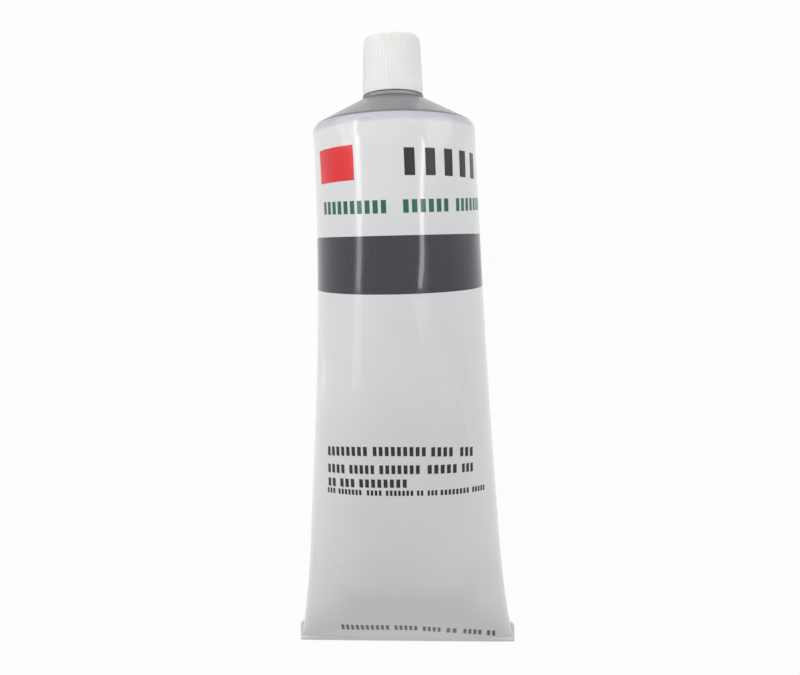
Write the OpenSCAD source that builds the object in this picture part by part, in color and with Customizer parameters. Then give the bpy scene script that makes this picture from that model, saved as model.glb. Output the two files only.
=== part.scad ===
// Collapsible metal tube of glazing putty, lying on its back with its screw cap on.
// The wall is a sheet that bends but does not stretch: every section from the round
// shoulder down to the flat, twice-folded end keeps the girth of the round tube.
// Row frame: +Y along the tube towards the cap, +Z up through the printed front,
// origin under the middle of the whole thing, on the surface that it lies on.

/* [Tube] */
// Outside diameter of the round end
tube_d = 50.8; // [40:0.1:60]
// Length from the folded end to the corner of the shoulder
tube_l = 180; // [140:1:220]
// Thickness of the side wall
wall = 0.2; // [0.15:0.05:0.4]
// How the flanks widen towards the folded end: low is early, high is late
flare_power = 1.57; // [1.2:0.01:2.2]
// Share of the widening that happens right beside the fold
pinch_share = 0.115; // [0:0.005:0.2]
// Squareness that the sections gain towards the fold, over the 2 of an ellipse
end_squareness = 0.5; // [0.2:0.05:0.8]
// How far the underside is pressed flat where the tube lies on it
belly_flat = 0.4; // [0.2:0.05:0.8]
// Length below the shoulder over which the wall gets fully round
round_run = 12; // [6:1:30]

/* [Folded end] */
// Height of one fold of the flattened end
fold_h = 6.2; // [4:0.1:9]
// Play between the layers of the fold
fold_play = 0.15; // [0.1:0.01:0.25]
// Length over which the wall opens out of the fold
pinch_l = 34; // [8:0.5:60]
// How suddenly it opens: low is sudden, high is gradual
pinch_power = 0.55; // [0.2:0.05:0.7]
// Length of the wall that runs on into the fold's own layers
tuck_in = 1; // [0.5:0.1:2]
// Length of solid seam where front and back are pressed together
seam_solid = 1.5; // [1.2:0.1:3]

/* [Printed band] */
// Distance from the shoulder corner down to the upper edge of the band
band_top = 33.3; // [20:0.1:50]
// Height of the band
band_h = 16.4; // [8:0.1:30]
// Thickness of the ink, let into the wall's own surface
ink_t = 0.06; // [0.04:0.01:0.1]
// Clearance between the ink and its bed in the wall
ink_gap = 0.02; // [0.01:0.01:0.04]

/* [Shoulder and neck] */
// Slope of the shoulder above square to the axis, in degrees
shoulder_slope = 27.8; // [20:0.1:40]
// Outside radius of the shoulder corner
corner_r = 3; // [1.5:0.1:5]
// Thickness of the shoulder
shoulder_t = 0.9; // [0.6:0.1:1.4]
// Diameter of the low collar round the neck, on top of the shoulder
ledge_d = 19; // [18.6:0.1:22]
// Height of that collar
collar_h = 0.8; // [0.4:0.1:1.5]
// Outside diameter of the neck, below its thread
neck_d = 13.6; // [12.6:0.1:14]
// Inside diameter of the neck
neck_bore_d = 10.8; // [9:0.1:11.4]
// Diameter of the mouth in the end of the neck
mouth_d = 8; // [5:0.1:9]
// Thickness of the lip round the mouth
lip_t = 1; // [0.6:0.1:2]

/* [Thread] */
// Rise of the thread in one turn
pitch = 3; // [2.5:0.1:3.5]
// Height of the thread over the neck
thread_h = 0.75; // [0.5:0.05:0.9]
// Width of the thread at its root
thread_root_w = 1.5; // [1.2:0.05:1.6]
// Width of the thread at its crest
thread_crest_w = 0.7; // [0.5:0.05:0.9]
// Radial clearance between the cap and the neck's thread
thread_gap = 0.35; // [0.3:0.05:0.45]
// Axial play between the flanks that bear on each other
flank_play = 0.15; // [0.1:0.01:0.2]
// Depth to which the thread's root is rooted in its wall
thread_embed = 0.3; // [0.2:0.05:0.4]
// Plain length of neck above its thread
neck_lead = 0.6; // [0.4:0.1:1.5]
// Turns of thread on the neck
neck_turns = 3.5; // [2:0.5:3.5]
// Turns of thread in the cap
cap_turns = 2.5; // [1.5:0.5:3]

/* [Cap] */
// Outside diameter of the cap at its rim
cap_d = 18.8; // [18.2:0.1:22]
// Outside diameter of the cap at its top
cap_top_d = 17.3; // [16.9:0.1:20]
// Length of the cap
cap_l = 16.9; // [15:0.1:22]
// Thickness of the top of the cap
cap_top_t = 1.8; // [1.2:0.1:3]
// Outside radius of the cap's top edge
cap_edge_r = 1.2; // [0.6:0.1:1.8]
// Clearance between the cap's rim and the collar
rim_gap = 0.25; // [0.2:0.05:0.8]
// Number of grip ribs
rib_count = 60; // [40:2:80]
// Height of the grip ribs
rib_h = 0.22; // [0.1:0.01:0.4]
// Width of a rib at its root
rib_root_w = 0.64; // [0.4:0.02:0.8]
// Width of a rib at its crest
rib_crest_w = 0.2; // [0.1:0.02:0.4]
// Depth to which a rib is rooted in the cap's wall
rib_embed = 0.3; // [0.2:0.05:0.5]
// Plain width left below the ribs, at the rim
rib_rim = 1.1; // [0.6:0.1:2]
// Plain width left above the ribs, below the rounded edge
rib_top_gap = 0.4; // [0.2:0.1:1]

/* [Liner] */
// Thickness of the sealing disc in the cap
liner_t = 1; // [0.6:0.1:1.6]
// Clearance between the disc and the inside wall of the cap
liner_gap = 0.3; // [0.2:0.05:0.5]
// Clearance between the disc and the faces above and below it
liner_play = 0.1; // [0.05:0.01:0.2]

/* [Putty] */
// Clearance left between the putty and the metal
fill_gap = 0.15; // [0.1:0.01:0.3]
// Depth of the putty below the mouth
fill_drop = 1.5; // [1:0.1:4]

/* [Hidden] */

// Facets: points round a section, sections along the wall, and steps in a turn of thread
round_steps = 64;
lower_sections = 16;
band_sections = 3;
upper_sections = 5;
inside_sections = 18;
quarter_steps = 16;
corner_steps = 3;
turn_steps = 24;
lead_steps = 4;

tube_r = tube_d / 2;
girth = 4 * path_length(quarter_curve(tube_r, tube_r, 2));

// The round part of the wall ends where the shoulder's corner begins
corner_run = corner_r * tan((90 - shoulder_slope) / 2);
wall_l = tube_l - corner_run;

// The tube leans so that its back lies along the surface from the fold to the shoulder
lean = atan(tube_r / wall_l);

// Three layers of doubled wall lie over each other in the fold
layer_t = 2 * wall;
layer_step = layer_t + fold_play;
seam_z = 2 * layer_step + layer_t / 2;
fold_reach = layer_step + layer_t / 2;

// Half the width of the flattened end: a quarter of the girth, less the bend at its edge
end_half_w = girth / 4 - layer_t;

band_low_w = tube_l - band_top - band_h;
band_high_w = tube_l - band_top;

ledge_r = ledge_d / 2;
cone_z = (tube_r - ledge_r) * tan(shoulder_slope);
ledge_z = cone_z + collar_h;
cap_base_z = ledge_z + rim_gap;
cap_inside_l = cap_l - cap_top_t;
liner_z = cap_base_z + cap_inside_l - liner_play - liner_t;
mouth_z = liner_z - liner_play;

neck_r = neck_d / 2;
neck_bore_r = neck_bore_d / 2;
crest_r = neck_r + thread_h;
cap_bore_r = crest_r + thread_gap;
// The cap's thread hangs under the neck's thread, flank on flank, where their crests overlap
flank_meet = (thread_root_w + thread_crest_w) / 2
    - (thread_root_w - thread_crest_w) * thread_gap / (2 * thread_h);
cap_thread_drop = flank_meet + flank_play;
neck_thread_z = mouth_z - neck_turns * pitch - thread_root_w / 2 - neck_lead;
cap_thread_z = neck_thread_z - cap_thread_drop + pitch;

cap_r = cap_d / 2;
cap_top_r = cap_top_d / 2;
rib_top_z = cap_l - cap_edge_r - rib_top_gap;

// Ends of the whole thing along the row's Y, before it is centred
near_y = -fold_reach;
far_y = (tube_l + cap_base_z + cap_l - cap_edge_r) * cos(lean)
      + (cap_top_r - cap_edge_r) * sin(lean) + cap_edge_r;
mid_y = (near_y + far_y) / 2;

function smooth(x) = let (u = min(1, max(0, x))) u * u * (3 - 2 * u);
function power_of(x, p) = x <= 0 ? 0 : pow(x, p);
function total(v, i = 0) = i == len(v) ? 0 : v[i] + total(v, i + 1);
function path_length(p) = total([for (i = [1:len(p) - 1]) norm(p[i] - p[i - 1])]);

// A quarter of a superellipse with half axes a and b, as points
function quarter_curve(a, b, n) = [
    for (i = [0:quarter_steps])
        let (t = 90 * i / quarter_steps)
        [a * power_of(cos(t), 2 / n), b * power_of(sin(t), 2 / n)]
];

// Shape of the wall at w along the axis: half width, squareness, and the line of its edges
function half_width(w) =
    let (s = 1 - w / tube_l)
    tube_r + (end_half_w - tube_r) * (1 - smooth((w - wall_l + round_run) / round_run))
        * ((1 - pinch_share) * power_of(s, flare_power) + pinch_share * power_of(s, 18));
function squareness(w) = 2 + end_squareness * pow(1 - w / wall_l, 2);
function edge_line(w) = seam_z * pow(1 - w / wall_l, 3);

// Height of the back over the surface: on the fold first, then pressed a little below
function belly(w) =
    (seam_z - layer_t / 2) * (1 - smooth((w - fold_h - 1) / (1.5 * fold_h)))
        - belly_flat * sin(180 * min(1, max(0, (w - fold_h) / (wall_l - fold_h))));
function back_depth(w) = w * tan(lean) + edge_line(w) - belly(w) / cos(lean);

// Depth of the front that gives the section the girth of the round tube, once the wall has
// opened out of the fold
function front_depth(w) =
    let (
        n = squareness(w),
        a = half_width(w),
        left = girth / 2 - path_length(quarter_curve(a, back_depth(w), n)),
        open = power_of(sin(90 * min(1, w / pinch_l)), pinch_power)
    )
    layer_t / 2 + open * (depth_for(a, n, left, 0, 2 * tube_r, 24) - layer_t / 2);
function depth_for(a, n, quarter_l, low, high, steps) =
    let (mid = (low + high) / 2)
    steps == 0 ? mid
    : path_length(quarter_curve(a, mid, n)) > quarter_l
        ? depth_for(a, n, quarter_l, low, mid, steps - 1)
        : depth_for(a, n, quarter_l, mid, high, steps - 1);

// One closed section of the wall, moved inwards by inset, in the tube's own frame
function wall_section(w, inset) =
    let (
        a = half_width(w) - inset,
        n = squareness(w),
        front = front_depth(w) - inset,
        back = back_depth(w) - inset,
        mid = edge_line(w),
        floor_v = -w * tan(lean) + inset / cos(lean)
    )
    [
        for (i = [0:round_steps - 1])
            let (
                t = 360 * i / round_steps,
                x = a * sign(cos(t)) * power_of(abs(cos(t)), 2 / n),
                v = sign(sin(t)) * power_of(abs(sin(t)), 2 / n)
            )
            [x, w, max(floor_v, mid + v * (v > 0 ? front : back))]
    ];
function round_section(w, r) = [
    for (i = [0:round_steps - 1])
        let (t = 360 * i / round_steps)
        [r * cos(t), w, r * sin(t)]
];

// A closed surface through a run of sections, each with the same number of points. A loop
// of sections closes on itself, like a sleeve; otherwise the two ends are flat faces. From
// the row cross_from on, the facets are split along their other diagonal, so that a surface
// laid against another one can have the same facets as it.
module skin(sections, loop = false, cross_from = 1000) {
    n = len(sections[0]);
    m = len(sections);
    polyhedron(
        points = [for (s = sections) each s],
        faces = [
            if (!loop) [for (i = [n - 1:-1:0]) i],
            for (j = [0:loop ? m - 1 : m - 2], i = [0:n - 1])
                let (k = (i + 1) % n, near = j * n, far = (j + 1) % m * n)
                each j < cross_from
                    ? [[near + i, near + k, far + i], [near + k, far + k, far + i]]
                    : [[near + i, near + k, far + k], [near + i, far + k, far + i]],
            if (!loop) [for (i = [0:n - 1]) (m - 1) * n + i]
        ],
        convexity = 10
    );
}

// Puts what is drawn in the tube's own frame into the row frame
module lying() {
    translate([0, -mid_y, 0]) rotate([lean, 0, 0]) children();
}
module on_axis(z) {
    translate([0, tube_l + z, 0]) rotate([-90, 0, 0]) children();
}

function lower_stations() = [for (i = [0:lower_sections]) band_low_w * pow(i / lower_sections, 1.8)];
function band_stations() = [for (i = [0:band_sections]) band_low_w + band_h * i / band_sections];
function upper_stations() = [
    for (i = [0:upper_sections]) band_high_w + (wall_l - band_high_w) * i / upper_sections
];
function inside_stations() = [
    for (i = [0:inside_sections]) seam_solid + (wall_l - seam_solid) * pow(i / inside_sections, 1.8)
];

// Side wall and shoulder: one sheet from the flattened end up to the collar round the neck,
// and back down inside. The ink has a shallow bed of its own in it.
module wall_and_shoulder() {
    outside = concat(
        [for (w = lower_stations()) wall_section(w, 0)],
        [for (w = band_stations()) wall_section(w, ink_t + ink_gap)],
        [for (w = upper_stations()) wall_section(w, 0)]
    );
    corner = [
        for (i = [1:corner_steps])
            let (t = (90 - shoulder_slope) * i / corner_steps)
            round_section(wall_l + corner_r * sin(t), tube_r - corner_r * (1 - cos(t)))
    ];
    collar = [
        round_section(tube_l + cone_z, ledge_r),
        round_section(tube_l + ledge_z, ledge_r),
        round_section(tube_l + ledge_z, (neck_r + neck_bore_r) / 2),
        round_section(tube_l + cone_z - shoulder_t, (neck_r + neck_bore_r) / 2)
    ];
    under = [for (p = shoulder_inside(0)) round_section(tube_l + p[1], p[0])];
    stations = inside_stations();
    inside = [for (i = [inside_sections:-1:0]) wall_section(stations[i], wall)];
    skin(concat(outside, corner, collar, under, inside));
}

// Inside of the shoulder as points [radius, height], from the neck outwards, moved in by a gap
function shoulder_inside(gap) =
    let (
        drop = (shoulder_t + gap) / cos(shoulder_slope),
        z = cone_z - shoulder_t - gap,
        r = tube_r - wall - gap
    )
    [
        [tube_r - (z + drop) / tan(shoulder_slope), z],
        [r, (tube_r - r) * tan(shoulder_slope) - drop]
    ];

// The flattened end, folded over twice: a strip of doubled wall seen from its edge
module fold_profile() {
    low = layer_t / 2;
    outer_r = layer_step + layer_t / 2;
    inner_r = layer_step - layer_t / 2;
    top_y = fold_h;
    // main layer, running into the end of the wall
    translate([0, seam_z - low]) square([tuck_in, layer_t]);
    // first bend, round to the outer layer
    translate([0, seam_z - layer_step]) bend(outer_r, inner_r, -1);
    square([top_y, layer_t]);
    // second bend, into the layer between
    translate([top_y, layer_step / 2 + low]) bend(layer_step / 2 + low, layer_step / 2 - low, 1);
    translate([layer_step, layer_step]) square([top_y - layer_step, layer_t]);
}
module bend(outer, inner, side) {
    intersection() {
        difference() {
            circle(r = outer, $fn = 48);
            circle(r = inner, $fn = 48);
        }
        translate([side < 0 ? -outer - 1 : 0, -outer - 1]) square([outer + 1, 2 * outer + 2]);
    }
}
module folded_end() {
    translate([-end_half_w, -mid_y, 0])
        rotate([90, 0, 90])
        linear_extrude(height = 2 * end_half_w) fold_profile();
}

// Neck, with the lip that narrows it to the mouth
module neck() {
    on_axis(0) rotate_extrude($fn = 96) polygon([
        [neck_bore_r, cone_z - shoulder_t], [neck_r, cone_z - shoulder_t],
        [neck_r, mouth_z], [mouth_d / 2, mouth_z],
        [mouth_d / 2, mouth_z - lip_t], [neck_bore_r, mouth_z - lip_t]
    ]);
}

// A helical thread that stands out of (side = 1) or into (side = -1) a round wall, and
// fades into the wall at both ends
module thread(r, side, turns) {
    count = round(turns * turn_steps);
    function half_w(h) = (thread_root_w - (thread_root_w - thread_crest_w) * h / thread_h) / 2;
    function corner(i, h, up) =
        let (a = 360 * i / turn_steps)
        [(r + side * h) * cos(a), (r + side * h) * sin(a), pitch * i / turn_steps + side * up * half_w(h)];
    function crest(i) =
        let (rise = min(1, i / lead_steps, (count - i) / lead_steps))
        -thread_embed / 2 + (thread_h + thread_embed / 2) * rise;
    skin([
        for (i = [0:count])
            [corner(i, -thread_embed, -1), corner(i, crest(i), -1), corner(i, crest(i), 1), corner(i, -thread_embed, 1)]
    ]);
}

module tube() {
    color("whitesmoke") {
        lying() wall_and_shoulder();
        folded_end();
    }
    color("darkgray") lying() {
        neck();
        on_axis(neck_thread_z) thread(neck_r, 1, neck_turns);
    }
}

// The printed band: a sleeve of ink, flush with the lacquer above and below it
module printed_band() {
    color("#44474d") lying() skin(concat(
        [for (w = band_stations()) wall_section(w, 0)],
        [for (i = [band_sections:-1:0]) wall_section(band_stations()[i], ink_t)]
    ), loop = true, cross_from = band_sections + 1);
}

module putty() {
    inset = wall + fill_gap;
    under = shoulder_inside(fill_gap);
    stations = inside_stations();
    color("darkseagreen") lying() skin(concat(
        [for (i = [1:inside_sections]) wall_section(stations[i], inset)],
        [round_section(tube_l + under[1][1], under[1][0]), round_section(tube_l + under[0][1], under[0][0])],
        [
            round_section(tube_l + under[0][1], neck_bore_r - fill_gap),
            round_section(tube_l + mouth_z - lip_t - fill_drop, neck_bore_r - fill_gap)
        ]
    ), cross_from = 0);
}

// Screw cap: a tapered cup with fine grip ribs and a thread inside
module cap() {
    color("#eeeeec") lying() on_axis(cap_base_z) {
        difference() {
            union() {
                rotate_extrude($fn = 120) difference() {
                    union() {
                        polygon([
                            [0, 0], [cap_r, 0],
                            [cap_top_r, cap_l - cap_edge_r],
                            [cap_top_r - cap_edge_r, cap_l],
                            [0, cap_l]
                        ]);
                        translate([cap_top_r - cap_edge_r, cap_l - cap_edge_r]) circle(r = cap_edge_r, $fn = 48);
                    }
                    translate([-2 * cap_r, -1]) square([2 * cap_r, cap_l + 2]);
                }
                cap_ribs();
            }
            translate([0, 0, -1]) cylinder(r = cap_bore_r, h = cap_inside_l + 1, $fn = 96);
        }
        translate([0, 0, cap_thread_z - cap_base_z]) thread(cap_bore_r, -1, cap_turns);
    }
}
module cap_ribs() {
    lean_in = atan((cap_r - cap_top_r) / (cap_l - cap_edge_r));
    for (i = [0:rib_count - 1])
        rotate([0, 0, 360 * (i + 0.5) / rib_count])
            translate([cap_r - rib_rim * tan(lean_in), 0, rib_rim])
            rotate([0, -lean_in, 0])
            linear_extrude(height = (rib_top_z - rib_rim) / cos(lean_in))
            polygon([
                [-rib_embed, -rib_root_w / 2], [0, -rib_root_w / 2], [rib_h, -rib_crest_w / 2],
                [rib_h, rib_crest_w / 2], [0, rib_root_w / 2], [-rib_embed, rib_root_w / 2]
            ]);
}

module cap_liner() {
    color("white") lying() on_axis(liner_z) cylinder(r = cap_bore_r - liner_gap, h = liner_t, $fn = 96);
}

tube();
printed_band();
putty();
cap();
cap_liner();
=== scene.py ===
# %% [markdown]
# A collapsible metal tube of glazing putty, lying on its back with its screw cap on.
# The imported model is loaded as a fixed frame, and every piece below is built round it, in metres.
# The looks have to stay inside it.

# %% Load the frame
import math

import bmesh
import bpy
import numpy as np
from mathutils import Matrix, Vector


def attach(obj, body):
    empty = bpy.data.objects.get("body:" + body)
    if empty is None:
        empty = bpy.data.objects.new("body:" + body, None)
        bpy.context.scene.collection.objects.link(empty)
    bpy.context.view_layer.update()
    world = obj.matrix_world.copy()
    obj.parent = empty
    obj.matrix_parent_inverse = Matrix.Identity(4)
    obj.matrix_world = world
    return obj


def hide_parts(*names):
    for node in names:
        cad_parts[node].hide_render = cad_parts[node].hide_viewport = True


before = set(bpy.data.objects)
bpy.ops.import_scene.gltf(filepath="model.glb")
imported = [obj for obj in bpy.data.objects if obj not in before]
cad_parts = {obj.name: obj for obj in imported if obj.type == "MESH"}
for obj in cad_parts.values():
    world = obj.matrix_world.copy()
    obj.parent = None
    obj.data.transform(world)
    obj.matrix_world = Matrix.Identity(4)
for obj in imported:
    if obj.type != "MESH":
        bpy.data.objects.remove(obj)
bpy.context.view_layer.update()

for spare in ("Cube", "Light", "Camera"):
    if spare in bpy.data.objects:
        bpy.data.objects.remove(bpy.data.objects[spare])

# %% [markdown]
# Sizes are real ones, in millimetres, so each can be checked against a tube in the hand.
# The tube leans: its back lies along the table from the folded end to the round shoulder.

# %% Sizes of the tube
MM = 0.001
TUBE_R, TUBE_L, WALL = 25.4, 180.0, 0.2
CORNER_R, SLOPE = 3.0, math.radians(27.8)
FLARE_POWER, PINCH_SHARE, END_SQUARENESS, BELLY_FLAT = 1.57, 0.115, 0.5, 0.4
PINCH_L, PINCH_POWER, ROUND_RUN, SEAM_SOLID = 34.0, 0.55, 12.0, 1.5
FOLD_H, FOLD_PLAY = 6.2, 0.15
BAND_LOW, BAND_HIGH, INK_T, INK_GAP = 130.3, 146.7, 0.06, 0.02

LAYER = 2 * WALL
LAYER_STEP = LAYER + FOLD_PLAY
SEAM_Z = 2 * LAYER_STEP + LAYER / 2
WALL_L = TUBE_L - CORNER_R * math.tan((math.pi / 2 - SLOPE) / 2)
LEAN = math.atan(TUBE_R / WALL_L)
MID_Y = 102.291
SHOULDER_T, COLLAR_R, COLLAR_H = 0.9, 9.5, 0.8
CONE_Z = (TUBE_R - COLLAR_R) * math.tan(SLOPE)
COLLAR_Z = CONE_Z + COLLAR_H
NECK_R, NECK_BORE_R, MOUTH_R, LIP_T = 6.8, 5.4, 4.0, 1.0
RIM_GAP, CAP_L, CAP_TOP_T, LINER_PLAY, LINER_T = 0.25, 16.9, 1.8, 0.1, 1.0
CAP_BASE_Z = COLLAR_Z + RIM_GAP
MOUTH_Z = CAP_BASE_Z + CAP_L - CAP_TOP_T - 2 * LINER_PLAY - LINER_T
print(f"the tube leans {math.degrees(LEAN):.2f} degrees; its mouth is {MOUTH_Z:.2f} mm past the shoulder")

# %% [markdown]
# Foil bends and does not stretch, so each section of the wall keeps the girth of the round tube.
# A section is a superellipse whose width and back are given; the depth of its front is what is
# left of the girth. Points are then spread along the girth, closer at the two edges, so that the
# same point of the sheet has the same number in every section.

# %% The rule of the wall
QUARTER = np.linspace(0, math.pi / 2, 49)


def quarter_length(a, b, n):
    x, y = a * np.cos(QUARTER) ** (2 / n), b * np.sin(QUARTER) ** (2 / n)
    return np.hypot(np.diff(x), np.diff(y)).sum()


GIRTH = 4 * quarter_length(TUBE_R, TUBE_R, 2)
END_HALF = GIRTH / 4 - LAYER


def smooth(x):
    u = min(1, max(0, x))
    return u * u * (3 - 2 * u)


def half_width(w):
    s = 1 - w / TUBE_L
    flare = (1 - PINCH_SHARE) * s ** FLARE_POWER + PINCH_SHARE * s ** 18
    return TUBE_R + (END_HALF - TUBE_R) * (1 - smooth((w - WALL_L + ROUND_RUN) / ROUND_RUN)) * flare


def squareness(w):
    return 2 + END_SQUARENESS * (1 - w / WALL_L) ** 2


def edge_line(w):
    return SEAM_Z * (1 - w / WALL_L) ** 3


def back_depth(w):
    on_fold = (SEAM_Z - LAYER / 2) * (1 - smooth((w - FOLD_H - 1) / (1.5 * FOLD_H)))
    pressed = BELLY_FLAT * math.sin(math.pi * min(1, max(0, (w - FOLD_H) / (WALL_L - FOLD_H))))
    return w * math.tan(LEAN) + edge_line(w) - (on_fold - pressed) / math.cos(LEAN)


def front_depth(w):
    a, n = half_width(w), squareness(w)
    left = GIRTH / 2 - quarter_length(a, back_depth(w), n)
    low, high = 0.0, 2 * TUBE_R
    for _ in range(24):
        mid = (low + high) / 2
        low, high = (low, mid) if quarter_length(a, mid, n) > left else (mid, high)
    opened = math.sin(math.pi / 2 * min(1, w / PINCH_L)) ** PINCH_POWER
    return LAYER / 2 + opened * (low - LAYER / 2)


print(f"girth {GIRTH:.2f} mm, folded end {2 * END_HALF:.2f} mm wide")

# %% Points round a section
ROUND = 256
quarter_share = np.arange(ROUND // 4) / (ROUND // 4)
spread = 0.15 * quarter_share + 0.85 * (1.25 * quarter_share - 0.25 * quarter_share ** 5)
to_edge, from_edge = spread, 2 - np.append(spread[1:], 1)[::-1]
SHARE = np.concatenate([to_edge, from_edge, 2 + to_edge, 2 + from_edge]) / 4
DENSE = np.pi / 2 - np.linspace(0, 2 * np.pi, 1441)


def loop_of(a, front, back, n):
    """Section as (x, v) points at fixed shares of its girth, from the middle of the front
    over the +X edge and the middle of the back."""
    c, s = np.cos(DENSE), np.sin(DENSE)
    x = a * np.sign(c) * np.abs(c) ** (2 / n)
    v = np.sign(s) * np.abs(s) ** (2 / n) * np.where(s > 0, front, back)
    run = np.concatenate([[0], np.cumsum(np.hypot(np.diff(x), np.diff(v)))])
    at = SHARE * run[-1]
    return np.stack([np.interp(at, run, x), np.interp(at, run, v)], 1)


BOW, BOW_SKEW = 0.66, 0.35


def bow(w):
    """Slight sideways bend of a handled tube, none at its two ends."""
    t = min(1, max(0, w / TUBE_L))
    return BOW * 4 * t * (1 - t) + BOW_SKEW * 8 * t * (1 - t) * (2 * t - 1)


def wall_ring(w, inset):
    loop = loop_of(half_width(w) - inset, front_depth(w) - inset, back_depth(w) - inset, squareness(w))
    v = np.maximum(loop[:, 1] + edge_line(w), -w * math.tan(LEAN) + inset / math.cos(LEAN))
    return np.stack([loop[:, 0] + bow(w), np.full(ROUND, w), v], 1)


def round_ring(w, r):
    return np.stack([r * np.sin(2 * np.pi * SHARE), np.full(ROUND, w), r * np.cos(2 * np.pi * SHARE)], 1)


def lying(points):
    """From the tube's own frame, in millimetres, to the row frame, in metres."""
    x, w, v = np.asarray(points, float).T
    y = w * math.cos(LEAN) - v * math.sin(LEAN) - MID_Y
    return np.stack([x, y, w * math.sin(LEAN) + v * math.cos(LEAN)], 1) * MM


print("points round a section:", ROUND, "closest spacing", round(float(np.diff(SHARE).min() * GIRTH), 3), "mm")

# %% [markdown]
# Thin metal takes dents. Each one here is a smooth hollow, given by its place on the flat sheet:
# how far round from the middle of the front, and how far up from the fold. They go inwards, apart
# from a crease of negative depth, which is a low ridge. The same field moves the outside, the
# inside and the paste, so the wall keeps its thickness.

# %% Dents of the sheet
# (round mm, up mm, half length round, half length up, turn in degrees, depth mm)
DENTS = [
    (15.0, 112.0, 4.0, 20.0, 16.0, 0.45),
    (1.0, 116.0, 5.0, 18.0, 22.0, 0.22),
    (-32.0, 105.0, 5.0, 9.0, 0.0, 1.0),
    (27.0, 60.0, 8.0, 26.0, 8.0, 0.35),
    (-22.0, 52.0, 9.0, 24.0, -6.0, 0.3),
    (0.0, 12.0, 14.0, 8.0, 0.0, 0.5),
    (31.0, 28.0, 7.0, 13.0, -15.0, 1.8),
    (-31.0, 28.0, 7.0, 13.0, 15.0, 1.8),
    (-12.8, 175.9, 0.9, 0.9, 0.0, 0.3),
    (-13.1, 173.1, 0.9, 1.0, 0.0, 0.22),
    (-8.2, 176.2, 1.4, 0.8, 0.0, 0.25),
    (6.0, 171.0, 3.0, 5.0, 12.0, 0.12),
    (-22.4, 38.0, 1.0, 0.8, 30.0, 0.25),
    (24.0, 150.0, 4.0, 9.0, -10.0, 0.25),
]
# (round mm and up mm of both ends, half width, depth mm)
CREASES = [
    (18.3, 100.7, 20.6, 92.5, 0.8, -0.24),
    (21.3, 89.9, 23.5, 82.1, 0.8, -0.20),
    (6.8, 128.5, 12.5, 103.1, 1.5, 0.16),
    (12.5, 103.1, 11.4, 92.4, 1.5, 0.12),
    (-38.5, 1.8, -20.0, 3.0, 0.7, 0.3),
    (38.5, 1.8, 27.0, 3.0, 0.7, 0.3),
    (-36.0, 30.0, -30.0, 55.0, 2.0, 0.12),
]
RIPPLE_DEPTH, RIPPLE_WIDE, RIPPLE_TALL = 0.07, 30, 60
ripple_draw = np.random.default_rng(11)
# (waves per millimetre round and up, phase) of each ripple left by handling
RIPPLES = [(a / RIPPLE_WIDE, b / RIPPLE_TALL, c) for a, b, c in zip(
    ripple_draw.uniform(-1, 1, 9), ripple_draw.uniform(-1, 1, 9), ripple_draw.uniform(0, 2 * math.pi, 9))]
AROUND = (SHARE + 0.5) % 1 * GIRTH - GIRTH / 2
# Heights between which the dents fade in over the fold, and fade out under the shoulder's corner
FADE_IN, FADE_IN_RUN, FADE_OUT, FADE_OUT_RUN = 0.4, 1.4, 174, 4


def dent_depth(w):
    depth = np.zeros(ROUND)
    for s0, w0, half_s, half_w, turn, amount in DENTS:
        c, s = math.cos(math.radians(turn)), math.sin(math.radians(turn))
        ds, dw = AROUND - s0, w - w0
        across, along = (ds * c + dw * s) / half_s, (dw * c - ds * s) / half_w
        depth += amount * np.exp(-across ** 2 - along ** 2)
    for s0, w0, s1, w1, half, amount in CREASES:
        length2 = (s1 - s0) ** 2 + (w1 - w0) ** 2
        t = np.clip(((AROUND - s0) * (s1 - s0) + (w - w0) * (w1 - w0)) / length2, 0, 1)
        away = np.hypot(AROUND - s0 - t * (s1 - s0), w - w0 - t * (w1 - w0))
        depth += amount * np.exp(-(away / half) ** 2)
    waves = sum(np.sin(2 * math.pi * (a * AROUND + b * w) + c) for a, b, c in RIPPLES) / len(RIPPLES)
    depth += RIPPLE_DEPTH * (1 + waves)
    return depth * smooth((w - FADE_IN) / FADE_IN_RUN) * (1 - smooth((w - FADE_OUT) / FADE_OUT_RUN))


def dented(rings):
    """Moves rings of the wall inwards by the dents, along the wall's own normal."""
    out = []
    for ring in rings:
        tangent = np.roll(ring, -1, 0) - np.roll(ring, 1, 0)
        normal = np.stack([tangent[:, 2], np.zeros(ROUND), -tangent[:, 0]], 1)
        normal /= np.linalg.norm(normal, axis=1)[:, None]
        out.append(ring + normal * dent_depth(ring[0, 1])[:, None])
    return out


print(len(DENTS), "dents and", len(CREASES), "creases, the deepest", max(d[5] for d in DENTS), "mm")

# %% [markdown]
# A piece made of rings is one closed mesh: each ring is joined to the next, and the two ends are
# closed by strips from one side to the other. A UV map carries the place on the flat sheet.

# %% Meshes from rings
SHEET_START, SHEET_SPAN = -10, 210


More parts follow.
